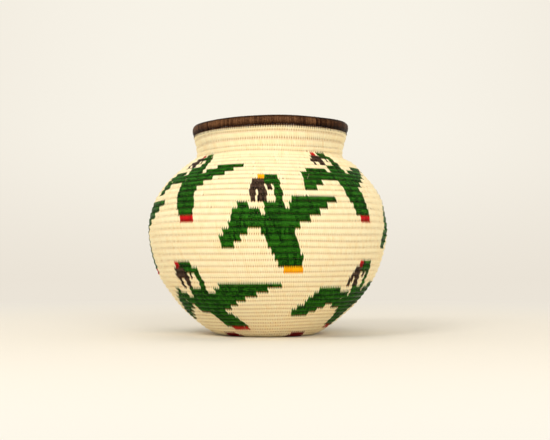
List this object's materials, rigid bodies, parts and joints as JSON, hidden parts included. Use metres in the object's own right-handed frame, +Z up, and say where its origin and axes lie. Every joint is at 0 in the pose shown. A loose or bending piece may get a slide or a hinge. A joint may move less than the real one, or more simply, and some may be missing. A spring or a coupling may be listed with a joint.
{
  "type": "coiled basket",
  "caption": "Round-bellied coiled palm-fibre jar basket with a narrow flat base, short flared neck and dark rim coil, decorated with stitched birds",
  "frame": {"origin": "centre of the base, on the plane of the flat strips under the base rows that the basket stands on", "axes": "+Z up along the basket's axis of rotation, front (the side with the centre bird) towards -Y, the coil's turns start and end at the back (+Y)"},
  "size_m": [0.1593, 0.1594, 0.1428],
  "materials": {
    "natural_palm": "undyed pale palm strand, dull with a soft sheen on each stitch",
    "dark_palm": "dark brown dyed palm strand, slightly glossy",
    "green_palm": "deep green dyed palm strand, slightly glossy",
    "red_palm": "red dyed palm strand, slightly glossy",
    "gold_palm": "orange-gold dyed palm strand, slightly glossy"
  },
  "bodies": {
    "root": {"start_knot": "natural_palm", "base_row_01": "natural_palm", "base_row_02": "natural_palm", "base_row_03": "natural_palm", "base_row_04": "natural_palm", "base_row_05": "natural_palm", "base_row_06": "natural_palm", "base_row_07": "natural_palm", "lower_row_01": "natural_palm", "lower_row_02": "natural_palm", "lower_row_03": "natural_palm", "lower_row_04": "natural_palm", "lower_row_05": "natural_palm", "lower_row_06": "natural_palm", "lower_row_07": "natural_palm", "lower_row_08": "natural_palm", "lower_row_09": "natural_palm", "lower_row_10": "natural_palm", "lower_row_11": "natural_palm", "lower_row_12": "natural_palm", "lower_row_13": "natural_palm", "lower_row_14": "natural_palm", "lower_row_15": "natural_palm", "lower_row_16": "natural_palm", "lower_row_17": "natural_palm", "lower_row_18": "natural_palm", "belly_row_01": "natural_palm", "belly_row_02": "natural_palm", "belly_row_03": "natural_palm", "belly_row_04": "natural_palm", "belly_row_05": "natural_palm", "belly_row_06": "natural_palm", "belly_row_07": "natural_palm", "belly_row_08": "natural_palm", "belly_row_09": "natural_palm", "belly_row_10": "natural_palm", "belly_row_11": "natural_palm", "belly_row_12": "natural_palm", "belly_row_13": "natural_palm", "belly_row_14": "natural_palm", "belly_row_15": "natural_palm", "shoulder_row_01": "natural_palm", "shoulder_row_02": "natural_palm", "shoulder_row_03": "natural_palm", "shoulder_row_04": "natural_palm", "shoulder_row_05": "natural_palm", "shoulder_row_06": "natural_palm", "shoulder_row_07": "natural_palm", "shoulder_row_08": "natural_palm", "collar_row_01": "natural_palm", "neck_row_01": "natural_palm", "neck_row_02": "natural_palm", "neck_row_03": "natural_palm", "rim_coil": "dark_palm"}
  },
  "joints": []
}
